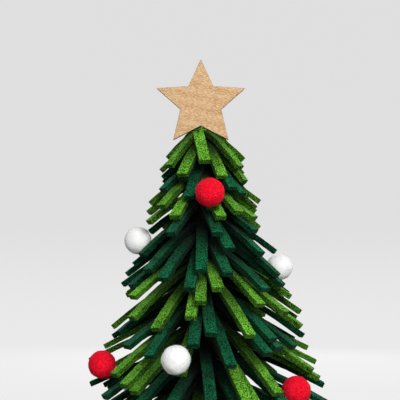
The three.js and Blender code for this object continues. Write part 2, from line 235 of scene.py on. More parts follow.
# Soft lamps: name, place, side and power in watts, and the point that all of them face
LAMPS = (
    ("key_lamp", (0.5, -1.55, 1.05), 0.8, 29),
    ("front_lamp", (-0.3, -2.1, 0.75), 1.0, 10),
    ("left_back_lamp", (-1.3, 1.2, 1.2), 0.9, 13),
    ("right_back_lamp", (1.4, 1.0, 1.1), 0.9, 13),
    ("back_lamp", (0.1, 2.0, 0.75), 1.0, 12),
)
LAMP_AIM = (0, 0, 0.25)

# Step between the random seeds of neighbouring rings or balls
SEED_STEP = 100


def linear(colour):
    """Linear RGBA of an sRGB hex colour."""
    parts = [int(colour[place:place + 2], 16) / 255 for place in (1, 3, 5)]
    return [part / 12.92 if part <= 0.04045 else ((part + 0.055) / 1.055) ** 2.4 for part in parts] + [1.0]


def add_node(tree, kind, inputs=None, stops=None, **settings):
    """Adds a node with its settings. An input is linked where its value is a socket, and else set to that
    value. Stops are a colour ramp's (position, hex colour) pairs."""
    node = tree.nodes.new(kind)
    for name, value in settings.items():
        setattr(node, name, value)
    for name, value in (inputs or {}).items():
        if isinstance(value, bpy.types.NodeSocket):
            tree.links.new(value, node.inputs[name])
        else:
            node.inputs[name].default_value = value
    if stops:
        elements = node.color_ramp.elements
        while len(elements) < len(stops):
            elements.new(0.5)
        for element, (position, colour) in zip(elements, stops):
            element.position = position
            element.color = linear(colour)
    return node


def new_material(name):
    """An empty material: its node tree, the input of its output, and each point's place in the object."""
    material = bpy.data.materials.new(name)
    material.use_nodes = True
    tree = material.node_tree
    tree.nodes.clear()
    surface = add_node(tree, "ShaderNodeOutputMaterial").inputs["Surface"]
    place = add_node(tree, "ShaderNodeTexCoord").outputs["Object"]
    return material, tree, surface, place


def shaded(tree, colour):
    """The colour times the surface's shade attribute, which holds laser scorch, strip tones and painted
    shade.
    """
    shade = add_node(tree, "ShaderNodeAttribute", attribute_name="shade").outputs["Fac"]
    return add_node(tree, "ShaderNodeHueSaturation", {"Value": shade, "Color": colour}).outputs["Color"]


def pressed_wool_felt(name, painted_root_shade, body, light):
    """Pressed wool felt, cut in strips. Fibres of a lighter and a deeper dye are mixed before pressing,
    so the eye sees a fine heather, faint clouds where the mix varies, and a matt, slightly rough face."""
    material, tree, surface, place = new_material(name)
    # Real wool fibres are 0.03 mm thick: the heather and the nap are drawn much coarser, so that they show
    heather = add_node(tree, "ShaderNodeTexNoise", {
        "Vector": place, "Scale": 1 / HEATHER, "Detail": 1.0, "Roughness": 0.6, "Distortion": 0.4})
    clouds = add_node(tree, "ShaderNodeTexNoise", {
        "Vector": place, "Scale": 1 / HEATHER_CLOUD, "Detail": 2.0})
    mixed = add_node(tree, "ShaderNodeMix", {
        "Factor": 0.14, "A": heather.outputs["Fac"], "B": clouds.outputs["Fac"]})
    colour = add_node(tree, "ShaderNodeValToRGB", {"Fac": mixed.outputs["Result"]},
                      [(0.42, painted_root_shade), (0.5, body), (0.58, light)]).outputs["Color"]
    nap = add_node(tree, "ShaderNodeTexNoise", {
        "Vector": place, "Scale": 1 / FELT_NAP, "Detail": 4.0, "Roughness": 0.7, "Distortion": 1.2})
    bump = add_node(tree, "ShaderNodeBump", {
        "Strength": 0.7, "Distance": FELT_NAP_DEPTH, "Height": nap.outputs["Fac"]})
    shader = add_node(tree, "ShaderNodeBsdfPrincipled", {
        "Base Color": shaded(tree, colour), "Normal": bump.outputs["Normal"], "Roughness": 1.0,
        "Specular IOR Level": 0.06, "Sheen Weight": 0.02, "Sheen Roughness": 0.6})
    tree.links.new(shader.outputs["BSDF"], surface)
    return material


def needle_felted_wool(name, painted_root_shade, body, light):
    """Needle-felted wool: one dye, fibres laid in all directions and matted by needles, so the eye sees a
    soft even colour with fine swirls, shallow needle dimples and a downy matt rim."""
    material, tree, surface, place = new_material(name)
    # The swirls are tufts of fibres and their real size; single fibres are too fine to show
    swirls = add_node(tree, "ShaderNodeTexNoise", {
        "Vector": place, "Scale": 1 / WOOL_SWIRL, "Detail": 3.0, "Roughness": 0.6, "Distortion": 1.6})
    colour = add_node(tree, "ShaderNodeValToRGB", {"Fac": swirls.outputs["Fac"]},
                      [(0.38, painted_root_shade), (0.5, body), (0.62, light)]).outputs["Color"]
    bump = add_node(tree, "ShaderNodeBump", {
        "Strength": 0.55, "Distance": WOOL_DIMPLE_DEPTH, "Height": swirls.outputs["Fac"]})
    shader = add_node(tree, "ShaderNodeBsdfPrincipled", {
        "Base Color": shaded(tree, colour), "Normal": bump.outputs["Normal"], "Roughness": 1.0,
        "Specular IOR Level": 0.08, "Sheen Weight": 0.01, "Sheen Roughness": 0.5})
    tree.links.new(shader.outputs["BSDF"], surface)
    return material


def bare_wood(name, dark, body, pale, year, turn, pith, figure):
    """Bare sanded wood: faint year rings as bands round the log's middle line, and short fine fibres and
    darker pores that lie along the grain. It gives the eye a warm, matt, finely flecked face."""
    material, tree, surface, place = new_material(name)
    laid = add_node(tree, "ShaderNodeMapping", {"Vector": place, "Rotation": turn, "Location": pith})
    along = add_node(tree, "ShaderNodeMapping", {
        "Vector": laid.outputs["Vector"], "Scale": (WOOD_STRETCH, 1.0, 1.0)}).outputs["Vector"]
    rings = add_node(tree, "ShaderNodeTexWave", {
        "Vector": along, "Scale": WAVE_RING / year, "Distortion": 0.5, "Detail": 1.0, "Detail Scale": 0.6},
        wave_type="RINGS", rings_direction="X")
    # Real fibres and pores are under 0.1 mm wide: both are drawn coarser, so that they show
    fibres = add_node(tree, "ShaderNodeTexNoise", {
        "Vector": along, "Scale": 1 / WOOD_FIBRE, "Detail": 1.0, "Roughness": 0.6})
    pores = add_node(tree, "ShaderNodeTexNoise", {"Vector": along, "Scale": 1 / WOOD_PORE, "Detail": 1.0})
    banded = add_node(tree, "ShaderNodeMix", {
        "Factor": figure, "A": fibres.outputs["Fac"], "B": rings.outputs["Fac"]})
    colour = add_node(tree, "ShaderNodeValToRGB", {"Fac": banded.outputs["Result"]},
                      [(0.36, dark), (0.5, body), (0.62, pale)]).outputs["Color"]
    open_pore = add_node(tree, "ShaderNodeMapRange", {
        "Value": pores.outputs["Fac"], "From Min": 0.55, "From Max": 0.6, "To Min": 0.0, "To Max": 0.7})
    # Inputs 6 and 7 of a Mix node are its two colours, and output 2 is their mix
    specked = add_node(tree, "ShaderNodeMix", {0: open_pore.outputs["Result"], 6: colour, 7: linear(dark)},
                       data_type="RGBA")
    bump = add_node(tree, "ShaderNodeBump", {
        "Strength": 0.3, "Distance": WOOD_FIBRE_DEPTH, "Height": fibres.outputs["Fac"]})
    shader = add_node(tree, "ShaderNodeBsdfPrincipled", {
        "Base Color": shaded(tree, specked.outputs[2]), "Normal": bump.outputs["Normal"],
        "Roughness": 0.68, "Specular IOR Level": 0.3})
    tree.links.new(shader.outputs["BSDF"], surface)
    return material


def zinc_plated_steel(name):
    """Zinc-plated steel wire and screws: a bright grey metal, its gloss broken by the plating's grain."""
    material, tree, surface, place = new_material(name)
    # The plating's crystals are finer than the eye sees: their grain is drawn coarser, so that it shows
    grain = add_node(tree, "ShaderNodeTexNoise", {"Vector": place, "Scale": 1 / ZINC_GRAIN, "Detail": 2.0})
    gloss = add_node(tree, "ShaderNodeMapRange", {
        "Value": grain.outputs["Fac"], "To Min": 0.26, "To Max": 0.42})
    shader = add_node(tree, "ShaderNodeBsdfPrincipled", {
        "Base Color": linear("#c3c5c8"), "Metallic": 1.0, "Roughness": gloss.outputs["Result"]})
    tree.links.new(shader.outputs["BSDF"], surface)
    return material


def unit(vectors):
    """Each vector at length one."""
    return vectors / np.maximum(np.linalg.norm(vectors, axis=-1, keepdims=True), 1e-12)


def smooth(share):
    """Eased step from 0 to 1: three squares less two cubes of the share, held to 0 and 1 outside."""
    share = np.clip(share, 0, 1)
    return share * share * (3 - 2 * share)


def ripple(points, wavelength, seed, waves=RIPPLE_WAVES):
    """Smooth noise of about unit height: the sum of plane sine waves of about one length, whose
    directions, lengths and phases come from a seed."""
    chance = np.random.default_rng(seed)
    directions = unit(chance.normal(size=(waves, 3)))
    turns = 2 * math.pi / (wavelength * chance.uniform(*RIPPLE_SPREAD, waves))
    phases = chance.uniform(0, 2 * math.pi, waves)
    return np.sin(points @ (directions * turns[:, None]).T + phases).sum(axis=-1) * math.sqrt(2 / waves)


def band_faces(rows, columns, rows_close=False):
    """Quads of a grid of points whose columns close on themselves, and whose rows may."""
    row, column = np.meshgrid(np.arange(rows - (not rows_close)), np.arange(columns), indexing="ij")
    next_row, next_column = (row + 1) % rows, (column + 1) % columns
    return np.stack([row * columns + column, row * columns + next_column, next_row * columns + next_column,
                     next_row * columns + column], axis=-1).reshape(-1, 4)


def capped_faces(rows, columns):
    """Quads of a grid whose columns close, and a fan from each end row to a point after the grid's."""
    column = np.arange(columns)
    after = (column + 1) % columns
    top = (rows - 1) * columns
    low_fan = np.stack([after, column, np.full(columns, rows * columns)], axis=-1)
    high_fan = np.stack([top + column, top + after, np.full(columns, rows * columns + 1)], axis=-1)
    return [band_faces(rows, columns), low_fan, high_fan]


def grid_normals(points):
    """Outward normals of a grid whose columns close: the way round it crossed with the way along it."""
    way_round = np.roll(points, -1, axis=1) - np.roll(points, 1, axis=1)
    return unit(np.cross(way_round, np.gradient(points, axis=0)))


class Shape:
    """Points, faces and shades gathered for one piece."""

    def __init__(self):
        self.points, self.shades, self.quads, self.triangles = [], [], [], []

    def add(self, points, faces, shade=1.0):
        """Adds points with their shade, and blocks of faces that count from the first of these points."""
        start = sum(map(len, self.points))
        points = points.reshape(-1, 3)
        for block in faces:
            (self.quads if block.shape[1] == 4 else self.triangles).append(block + start)
        self.points.append(points)
        self.shades.append(np.broadcast_to(np.asarray(shade, float).reshape(-1), len(points)))

    def piece(self, name, material, slot, node):
        """Makes the mesh object. It rides on the root body, takes the material as its finish and stands for
        the node. The slot is not used."""
        points = np.concatenate(self.points)
        blocks = [np.concatenate(blocks) for blocks in (self.quads, self.triangles) if blocks]
        corners = np.concatenate([block.ravel() for block in blocks])
        sizes = np.concatenate([np.full(len(block), block.shape[1]) for block in blocks])
        mesh = bpy.data.meshes.new(name)
        mesh.vertices.add(len(points))
        mesh.vertices.foreach_set("co", points.astype(np.float32).ravel())
        mesh.loops.add(len(corners))
        mesh.loops.foreach_set("vertex_index", corners.astype(np.int32))
        mesh.polygons.add(len(sizes))
        mesh.polygons.foreach_set("loop_start", (np.cumsum(sizes) - sizes).astype(np.int32))
        mesh.polygons.foreach_set("use_smooth", np.ones(len(sizes), bool))
        mesh.update(calc_edges=True)
        shades = mesh.attributes.new("shade", "FLOAT", "POINT")
        shades.data.foreach_set("value", np.concatenate(self.shades).astype(np.float32))
        mesh.materials.append(material)
        piece = bpy.data.objects.new(name, mesh)
        bpy.context.scene.collection.objects.link(piece)
        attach(piece, "root")
        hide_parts(node)
        return piece


def node_points(name):
    """A node's points without doubles, in metres rounded to a hundredth of a millimetre."""
    mesh = frame["nodes"][name].data
    points = np.empty(len(mesh.vertices) * 3, np.float32)
    mesh.vertices.foreach_get("co", points)
    return np.unique(np.round(points.reshape(-1, 3).astype(float), POINT_DIGITS), axis=0)


def strip_edges(name):
    """Each strip's turn and its cross edges, read from the layer's solid. Two points at one height and
    one distance from the axis, a strip's width apart, are the ends of a cross edge. The edges at one turn
    belong to one strip, and its four farthest are the two of its tip and the two of its bend."""
    points = node_points(name)
    far = points[np.hypot(points[:, 0], points[:, 1]) > ARM_ZONE]
    distance = np.hypot(far[:, 0], far[:, 1])
    level = np.abs(far[:, None, 2] - far[None, :, 2]) < SAME_LEVEL
    even = np.abs(distance[:, None] - distance[None]) < SAME_LEVEL
    apart = np.linalg.norm(far[:, None] - far[None], axis=-1)
    ends = np.nonzero(np.triu(level & even & (np.abs(apart - STRIP_WIDTH) < SAME_WIDTH)))
    middles = (far[ends[0]] + far[ends[1]]) / 2
    strips = {}
    for x, y, height in middles:
        turn = math.degrees(math.atan2(x, -y))
        known = next((key for key in strips if abs((turn - key + 180) % 360 - 180) < SAME_TURN), turn)
        strips.setdefault(known, []).append((math.hypot(x, y), height))
    return [(math.radians(turn), np.array(sorted(edges, reverse=True)[:4]))
            for turn, edges in strips.items()]


def strip_line(edges, start):
    """A strip's middle line in its upright plane, as (distance, height) points a step apart. Its slope
    runs smoothly from the root's to the bend's to the tip's, the line is the running sum of its steps,
    and what is left over at the tip is shared out along it."""
    tip, bend = edges[:2].mean(axis=0), edges[2:].mean(axis=0)
    run, fall = tip[0] - bend[0], bend[1] - tip[1]
    piece = math.hypot(run, fall)
    slope = math.atan2(fall, run)
    total = ROOT_RUN + 2 * piece
    steps = max(int(total / STRIP_STEP), STRIP_LEAST_STEPS)
    along = (np.arange(steps) + 0.5) * total / steps
    slopes = np.interp(along, [ROOT_RUN / 2, ROOT_RUN + piece / 2, ROOT_RUN + piece * 1.5],
                       [slope + ROOT_SLOPE, slope + INNER_SLOPE, slope])
    moves = np.stack([np.cos(slopes), -np.sin(slopes)], axis=-1) * total / steps
    line = np.concatenate([[start], start + np.cumsum(moves, axis=0)])
    return line + (tip - line[-1]) * np.linspace(0, 1, steps + 1)[:, None]


def crown_line(turn, edges, notch):
    """A top strip's middle line, as (distance, height) points of a cubic Bezier curve. It starts with its
    upper edge in the notch, or behind the star clear of its back. It leaves along the fold under the
    star, the more so the more it points to a side, and bows down to its tip."""
    side, ahead = abs(math.sin(turn)), math.cos(turn)
    start = np.array([0, notch - NOTCH_GAP - SIDE_DROP * side * (ahead > IN_FRONT)])
    if ahead < BEHIND:
        distance = (STRIP_WIDTH / 2 * side + BACK_CLEARANCE) / -ahead
        start = np.array([distance, notch + BACK_RISE - distance * side * NOTCH_FALL])
    tip = edges[:2].mean(axis=0)
    run, fall = tip[0] - start[0], start[1] - tip[1]
    chord = math.hypot(run, fall)
    slope = math.atan2(fall, run)
    leave = slope * (1 - side) + math.atan(NOTCH_FALL * side) * side
    start[1] -= STRIP_THICKNESS / 2 * math.cos(leave)
    arrive = slope + CROWN_BOW * side
    first = start + chord * START_HANDLE * np.array([math.cos(leave), -math.sin(leave)])
    second = tip - chord * END_HANDLE * np.array([math.cos(arrive), -math.sin(arrive)])
    steps = max(int(chord / STRIP_STEP), STRIP_LEAST_STEPS)
    share = np.linspace(0, 1, steps + 1)[:, None]
    left = 1 - share
    return (start * left ** 3 + 3 * first * share * left ** 2 + 3 * second * share ** 2 * left
            + tip * share ** 3)


def strip_section(width):
    """A strip's section: a rectangle with a quarter circle at each corner, anticlockwise from its lower
    right, with a support point on each side of a quarter so that the flats stay flat, and two points
    across each felt face. Beside the (across, up) points it gives how far each belongs to a cut side."""
    half = np.array([width, STRIP_THICKNESS]) / 2
    points, cut = [], []
    for side, level, first in ((1, -1, -90), (1, 1, 0), (-1, 1, 90), (-1, -1, 180)):
        centre = np.array([side, level]) * (half - STRIP_EDGE)
        angle = np.radians([first, first + 45, first + 90])
        arc = centre + STRIP_EDGE * np.stack([np.cos(angle), np.sin(angle)], axis=-1)
        ways = np.stack([-np.sin(angle), np.cos(angle)], axis=-1) * STRIP_SUPPORT
        points += [arc[0] - ways[0], *arc, arc[2] + ways[2]]
        cut += [0, 0, 0.5, 1, 1] if first in (-90, 90) else [1, 1, 0.5, 0, 0]
        if first in (0, 180):
            third = side * half[0] / 3
            points += [np.array([across, level * half[1]]) for across in (third, -third)]
            cut += [0, 0]
    return np.array(points), np.array(cut, float)


def strip_stations(length):
    """Where a strip's end rows lie along its line, and how far each draws in: a quarter circle at the edge,
    a row that closes the flat end, and a support row on the strip's side."""
    quarter = np.radians([0, 45, 90, 90])
    inset = STRIP_EDGE * (1 - np.cos(quarter)) + np.array([0, 0, 0, STRIP_SUPPORT])
    reach = STRIP_EDGE * (1 - np.sin(quarter))
    margin = STRIP_EDGE + STRIP_SUPPORT
    root = np.concatenate([reach[::-1], [margin]])
    tip = np.concatenate([[length - margin], length - reach])
    return root, tip, inset


def strip_shade(cut, share, turn, tone, crown):
    """Share of the colour's brightness at each point: less on the cut sides, partly their own darkness and
    partly painted shade, and painted shade that deepens towards the root. A crown strip lies in the light,
    so its root gets less painted shade, and the front one none."""
    if crown:
        sideways = min(1, 2 * abs(math.sin(turn)))
        painted_root_shade = 1 - (1 - CROWN_SHADE) * (1 - smooth(share)) * sideways
    else:
        painted_root_shade = ROOT_SHADE + (1 - ROOT_SHADE) * smooth(share) ** ROOT_SHADE_POWER
    return (1 + TONE_SPREAD * tone) * (1 - (1 - FELT_CUT_SHADE) * cut) * painted_root_shade


def add_strip(shape, turn, line, seed, crown=False):
    """Adds a felt strip: its section is carried along its line, square to it, and rolls and sways a
    little more towards the tip. The end rows draw in along a quarter circle and close. Slow ripples stand
    for the felt's uneven thickness. A crown strip falls away on both sides of the notch at the root, and
    the front one starts a little to the left."""
    chance = np.random.default_rng(seed)
    roll, sway, swell, tone = chance.uniform(-1, 1, 4)
    narrower = SIDE_NARROWING * abs(math.sin(turn)) * crown
    section, cut = strip_section(STRIP_WIDTH * (1 + WIDTH_SPREAD * swell - narrower))
    arc = np.concatenate([[0], np.cumsum(np.linalg.norm(np.diff(line, axis=0), axis=1))])
    root, tip, inset = strip_stations(arc[-1])
    stations = np.concatenate([root, arc[1:-1], tip])
    insets = np.concatenate([inset[::-1], np.zeros(len(arc)), inset])
    share = (stations / arc[-1])[:, None]
    centre = np.stack([np.interp(stations, arc, line[:, axis]) for axis in (0, 1)], axis=-1)
    slope = np.gradient(line, axis=0)
    slope = unit(np.stack([np.interp(stations, arc, slope[:, axis]) for axis in (0, 1)], axis=-1))
    across = section[:, 0] * (1 - insets[:, None] * 2 / STRIP_WIDTH)
    up = section[:, 1] * (1 - insets[:, None] * 2 / STRIP_THICKNESS)
    skew = FRONT_SKEW * max(math.cos(turn), 0) ** SKEW_POWER * (1 - share) * crown
    if crown:
        up = up - np.abs(across + skew) * NOTCH_FALL * (1 - smooth(stations / FOLD_RUN))[:, None]
    angle = roll * ROLL * share
    side = across * np.cos(angle) - up * np.sin(angle) + sway * SWAY * share ** 2 + skew
    lift = across * np.sin(angle) + up * np.cos(angle)
    distance = centre[:, :1] - slope[:, 1:] * lift
    height = centre[:, 1:] + slope[:, :1] * lift
    points = np.stack([distance * math.sin(turn) + side * math.cos(turn),
                       side * math.sin(turn) - distance * math.cos(turn), height], axis=-1)
    normals = grid_normals(points)
    points = points + normals * (FELT_WAVE * ripple(points, FELT_WAVE_LENGTH, seed))[..., None]
    shade = strip_shade(np.maximum(cut, (insets > 0)[:, None]), share, turn, tone, crown)
    ends = points[[0, -1]].mean(axis=1)
    shape.add(np.concatenate([points.reshape(-1, 3), ends]), capped_faces(*points.shape[:2]),
              np.append(shade.ravel(), [shade[0, 0], shade[-1, 0]]))
    count = int(arc[-1] * STRIP_FIBRES)
    row = chance.integers(len(stations) // BARE_ROOT_PART, len(stations), count)
    column = chance.integers(0, len(section), count)
    add_fibres(shape, points[row, column], normals[row, column], STRIP_FIBRE_LENGTH, seed,
               shade[row, column])


def add_fibres(shape, roots, outward, length, seed, shade=1.0):
    """Adds loose wool fibres: slender three-sided spikes that leave the felt at a slant and bend about
    halfway. Each is a triangle sunk in the surface, a smaller one at the bend, and a point."""
    chance = np.random.default_rng(seed + FIBRE_SEED)
    count = len(roots)
    way = unit(outward * FIBRE_RISE + chance.normal(size=(count, 3)) * FIBRE_STRAY)
    bent = unit(way + chance.normal(size=(count, 3)) * FIBRE_STRAY)
    reach = length * chance.uniform(FIBRE_SHORTEST, 1.0, (count, 1))
    foot = roots - outward * FIBRE_FOOT_DEPTH
    knee = foot + way * reach * FIBRE_KNEE
    tip = knee + bent * reach * (1 - FIBRE_KNEE)
    first = unit(np.cross(way, chance.normal(size=(count, 3))))
    second = np.cross(way, first)
    angles = np.radians([0, 120, 240])[:, None]
    ring = FIBRE_RADIUS * (first[:, None] * np.cos(angles) + second[:, None] * np.sin(angles))
    thinner = ring * FIBRE_KNEE_WIDTH
    points = np.concatenate([foot[:, None] + ring, knee[:, None] + thinner, tip[:, None]], axis=1)
    each = points.shape[1]
    starts = (np.arange(count) * each)[:, None, None]
    quads = np.array([[0, 1, 4, 3], [1, 2, 5, 4], [2, 0, 3, 5]]) + starts
    triangles = np.array([[0, 2, 1], [3, 4, 6], [4, 5, 6], [5, 3, 6]]) + starts
    shape.add(points, [quads.reshape(-1, 4), triangles.reshape(-1, 3)],
              np.repeat(np.broadcast_to(shade, count), each))


def felt_hub(shape, low, high, crown):
    """Adds the small round hub that joins a ring's strips: a drum with rounded rims and the rod's bore.
    The top ring's bore ends above the rod, and its drum carries a cone that leans to the star's notch and
    fills it."""
    if crown:
        notch = star_notch()
        seat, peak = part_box("centre_rod")[1].z + GAP, notch[1] - HUB_DROP
        corners = [(0, seat), (ROD_HOLE, seat), (ROD_HOLE, low), (HUB_RADIUS, low), (HUB_RADIUS, high),
                   (0, peak)]
    else:
        middle = (ROD_HOLE, (low + high) / 2)
        corners = [middle, (ROD_HOLE, low), (HUB_RADIUS, low), (HUB_RADIUS, high), (ROD_HOLE, high), middle]
    points, faces = turned(rounded_profile(corners), HUB_SIDES)
    if crown:
        points[:, 0] += notch[0] * np.clip((points[:, 2] - high) / (peak - high), 0, 1)
    # The hub's colour carries painted shade, lighter on the top ring's cone
    shape.add(points, faces, CROWN_HUB_SHADE if crown else HUB_SHADE)


def felt_ring(name, material, slot, seed):
    """One ring of felt strips round its hub, which is as high as the solid's own."""
    shape = Shape()
    points = node_points(name)
    hub = points[np.hypot(points[:, 0], points[:, 1]) < HUB_RADIUS * HUB_SLACK]
    low, high = hub[:, 2].min(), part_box(name)[1].z
    crown = name == "felt_layer_01"
    start = np.array([STRIP_START, high - STRIP_THICKNESS / 2])
    for place, (turn, edges) in enumerate(strip_edges(name)):
        line = crown_line(turn, edges, star_notch()[1]) if crown else strip_line(edges, start)
        add_strip(shape, turn, line, seed + place, crown)
    felt_hub(shape, low, high, crown)
    shape.piece(name.replace("layer", "ring"), material, slot, name)


def felt_ball(name, material, slot, seed):
    """A needle-felted ball: latitude rings of a sphere pushed out along its radius by slow lumps and a
    fine nap, with fibres standing off it."""
    low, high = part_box(name)
    centre = np.array((low + high) / 2)
    tilt = np.radians(np.linspace(180, 0, BALL_ROWS + 2)[1:-1])[:, None]
    turn = np.radians(np.arange(BALL_COLUMNS) * 360 / BALL_COLUMNS)
    sphere = np.stack([np.sin(tilt) * np.cos(turn), np.sin(tilt) * np.sin(turn), np.cos(tilt) + 0 * turn],
                      axis=-1)
    poles = [[0, 0, -1], [0, 0, 1]]
    chance = np.random.default_rng(seed)
    fibre_ways = unit(chance.normal(size=(BALL_FIBRES, 3)))
    ways = np.concatenate([sphere.reshape(-1, 3), poles, fibre_ways])
    radius = BALL_RADIUS * SMALLER_BALLS.get(name, 1)
    spots = ways * radius
    lumps = BALL_LUMP * ripple(spots, BALL_LUMP_LENGTH, seed)
    nap = BALL_NAP * ripple(spots, BALL_NAP_LENGTH, seed + 1, BALL_NAP_WAVES)
    points = centre + ways * (radius + lumps + nap)[:, None]
    shape = Shape()
    shape.add(points[:-BALL_FIBRES], capped_faces(BALL_ROWS, BALL_COLUMNS))
    add_fibres(shape, points[-BALL_FIBRES:], fibre_ways, BALL_FIBRE_LENGTH, seed)
    shape.piece("felt_" + name, material, slot, name)


def rounded_profile(corners):
    """A turned piece's profile, as (radius, height) points from the axis or the bore, out and up. Each
    corner is eased by a curve whose points are weighted means of the point before it, the corner and the
    point after it, with a support point on each side."""
    corners = np.array(corners, float)
    before, after = corners[:-2] - corners[1:-1], corners[2:] - corners[1:-1]
    sides = np.minimum(np.linalg.norm(before, axis=1), np.linalg.norm(after, axis=1))
    near = np.minimum(ROUNDING, sides * ROUNDING_LIMIT)[:, None]
    wide = near * ROUNDING_SUPPORT
    before, after = unit(before), unit(after)
    middle = corners[1:-1]
    share = np.linspace(0, 1, ROUNDING_POINTS)[:, None, None]
    left = 1 - share
    first, last = middle + before * near, middle + after * near
    curve = left ** 2 * first + 2 * share * left * middle + share ** 2 * last
    curve = np.concatenate([[middle + before * wide], curve, [middle + after * wide]])
    return np.concatenate([corners[:1], curve.transpose(1, 0, 2).reshape(-1, 2), corners[-1:]])


def turned(profile, sides):
    """Surface of revolution: each profile point goes round the axis. A profile that starts and ends on
    the axis closes at these two points, and another one closes on itself."""
    on_axis = profile[0, 0] == 0
    rows = profile[1:-1] if on_axis else profile[:-1]
    angle = np.arange(sides) * 2 * math.pi / sides
    points = np.stack([rows[:, :1] * np.cos(angle), rows[:, :1] * np.sin(angle), rows[:, 1:] + 0 * angle],
                      axis=-1)
    if not on_axis:
        return points.reshape(-1, 3), [band_faces(len(rows), sides, rows_close=True)]
    ends = np.array([[0, 0, profile[0, 1]], [0, 0, profile[-1, 1]]])
    return np.concatenate([points.reshape(-1, 3), ends]), capped_faces(len(rows), sides)


def turned_piece(name, corners, sides, material, slot, node):
    """A piece that is one surface of revolution with eased corners."""
    shape = Shape()
    shape.add(*turned(rounded_profile(corners), sides))
    shape.piece(name, material, slot, node)


def stem():
    """The turned base, trunk and rod, and the wire pin that holds the star."""
    radius, _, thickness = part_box("base_disc")[1]
    head_top = SCREW_RECESS + SCREW_HEAD + GAP
    turned_piece("turned_base", [
        (SCREW_HEAD_HOLE, SCREW_RECESS / 2), (SCREW_HEAD_HOLE, 0), (radius - BASE_CHAMFER, 0),
        (radius, BASE_CHAMFER), (radius, thickness - BASE_CHAMFER), (radius - BASE_CHAMFER, thickness),
        (SCREW_HOLE, thickness), (SCREW_HOLE, head_top), (SCREW_HEAD_HOLE, SCREW_RECESS),
        (SCREW_HEAD_HOLE, SCREW_RECESS / 2)], TURNED_SIDES, BASE_WOOD, "stem_wood", "base_disc")

    low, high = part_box("trunk")
    pilot_top = SCREW_RECESS + SCREW_LENGTH + GAP
    turned_piece("turned_trunk", [
        (0, pilot_top), (SCREW_HOLE, pilot_top), (SCREW_HOLE, low.z), (high.x, low.z), (high.x, high.z),
        (ROD_HOLE, high.z), (ROD_HOLE, high.z - ROD_SEAT), (0, high.z - ROD_SEAT)],
        TURNED_SIDES, STEM_WOOD, "stem_wood", "trunk")

    low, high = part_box("centre_rod")
    turned_piece("round_rod", [
        (0, low.z), (high.x, low.z), (high.x, high.z), (PIN_HOLE, high.z), (PIN_HOLE, high.z - PIN_SEAT),
        (0, high.z - PIN_SEAT)], TURNED_SIDES // 2, STEM_WOOD, "stem_wood", "centre_rod")

    low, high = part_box("star_pin")
    turned_piece("wire_pin", [(0, low.z), (high.x, low.z), (high.x, high.z), (0, high.z)],
                 TURNED_SIDES // 4, STEEL, "steel", "star_pin")


def wood_screw():
    """A countersunk wood screw standing head down. Its rows run from the middle of the head's face out to
    the rim, up the cone and the shank, and to the tip. A cross-shaped dip is sunk in the face, and the
    shank's radius rises in a ridge that climbs a pitch a turn."""
    low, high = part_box("base_screw")
    head, shank, tip = high.x, high.x * SHANK_SHARE, high.z
    cone_top = low.z + SCREW_HEAD
    plain_top = cone_top + PLAIN_SHANK
    face = np.stack([np.linspace(SCREW_MIDDLE, 1, SCREW_FACE_ROWS) * head, np.full(SCREW_FACE_ROWS, low.z)],
                    axis=-1)
    cone = np.array([(head, low.z + SCREW_RIM), (shank, cone_top), (shank, plain_top)])
    heights = np.arange(plain_top + THREAD_START, tip - POINT_END, THREAD_PITCH / THREAD_ROWS)
    taper = np.clip((tip - heights) / POINT_LENGTH, POINT_SHARE, 1)
    core = np.stack([(shank - THREAD_HEIGHT) * taper, heights], axis=-1)
    rows = np.concatenate([face, cone, core, [(POINT_RADIUS, tip)]])
    radius, height = rows[:, :1], rows[:, 1:]
    angle = np.arange(SCREW_SIDES) * 2 * math.pi / SCREW_SIDES
    climb = (height / THREAD_PITCH - angle / (2 * math.pi)) % 1
    threaded = (height > plain_top + THREAD_START / 2) & (height < tip - THREAD_END)
    radius = radius + threaded * THREAD_HEIGHT * np.maximum(0, 1 - np.abs(climb - 0.5) * THREAD_SHARPNESS)
    x, y = radius * np.cos(angle), radius * np.sin(angle)
    short, long = np.minimum(np.abs(x), np.abs(y)), np.maximum(np.abs(x), np.abs(y))
    dip = smooth((CROSS_HALF_WIDTH - short) / CROSS_WALL) * smooth((CROSS_HALF_LENGTH - long) / CROSS_END)
    on_face = (np.arange(len(rows)) < len(face) - 1)[:, None]
    points = np.stack([x, y, height + CROSS_DEPTH * dip * on_face], axis=-1)
    ends = np.array([[0, 0, low.z + CROSS_DEPTH], [0, 0, tip]])
    shape = Shape()
    shape.add(np.concatenate([points.reshape(-1, 3), ends]), capped_faces(*points.shape[:2]))
    shape.piece("cross_head_screw", STEEL, "steel", "base_screw")


def star_corners():
    """The star's ten corners as (x, z), from its solid's front face, anticlockwise seen from the front."""
    points = node_points("star")
    front = np.unique(points[points[:, 1] < points[:, 1].min() + SAME_FACE][:, [0, 2]], axis=0)
    middle = (front.min(axis=0) + front.max(axis=0)) / 2
    return front[np.argsort(np.arctan2(front[:, 1] - middle[1], front[:, 0] - middle[0]))]


def star_notch():
    """Place (x, z) of the notch between the star's feet: the lower of its two corners near the axis."""
    corners = star_corners()
    near = corners[np.abs(corners[:, 0]) < HUB_RADIUS]
    return near[near[:, 1].argmin()]


